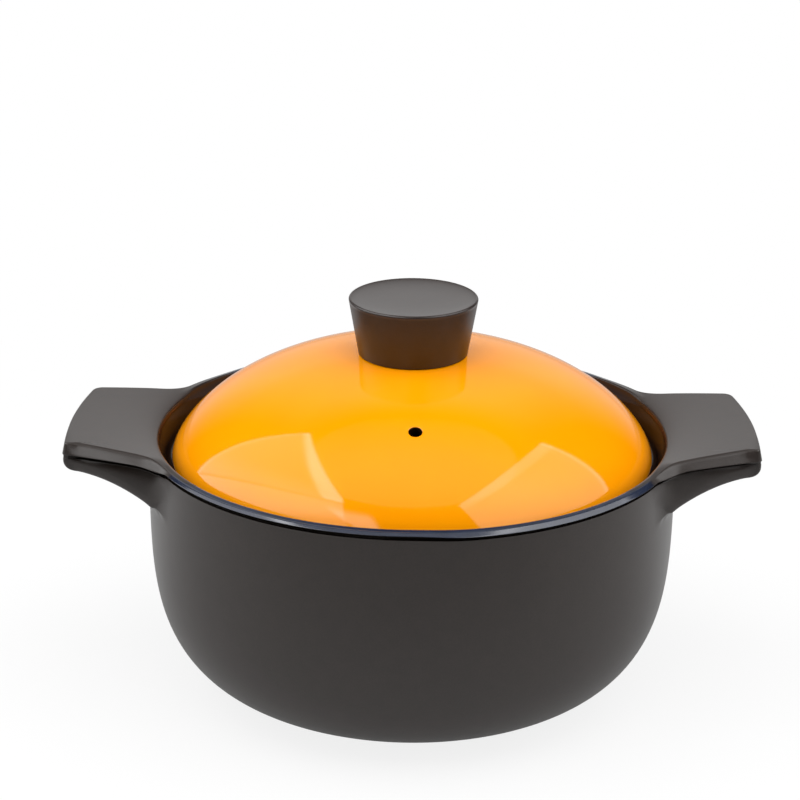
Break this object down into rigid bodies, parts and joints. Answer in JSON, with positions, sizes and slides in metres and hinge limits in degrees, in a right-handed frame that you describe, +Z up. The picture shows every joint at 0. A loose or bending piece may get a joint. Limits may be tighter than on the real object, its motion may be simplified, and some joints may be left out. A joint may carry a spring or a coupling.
{
  "type": "ceramic soup pot",
  "caption": "Round ceramic soup pot with flat wing handles, and a loose domed lid with a steam vent and a flared knob.",
  "frame": {"origin": "centre of the foot, on the surface that the pot stands on", "axes": "+X through the right-hand handle, +Z up, and the lid's vent faces -Y"},
  "size_m": [0.2924, 0.2268, 0.171],
  "materials": {
    "pot_glaze": "matte charcoal glaze, glossy brown inside",
    "lid_glaze": "glossy orange glaze",
    "knob_glaze": "satin dark brown-grey glaze"
  },
  "bodies": {
    "pot": {"pot_bowl": "pot_glaze", "handle_left": "pot_glaze", "handle_right": "pot_glaze"},
    "lid": {"lid_dome": "lid_glaze", "lid_knob": "knob_glaze"}
  },
  "joints": [
    {"name": "lid_lift", "type": "slide", "parent": "pot", "child": "lid", "axis": [0, 0, 1], "range_m": [0, 0.12]}
  ]
}
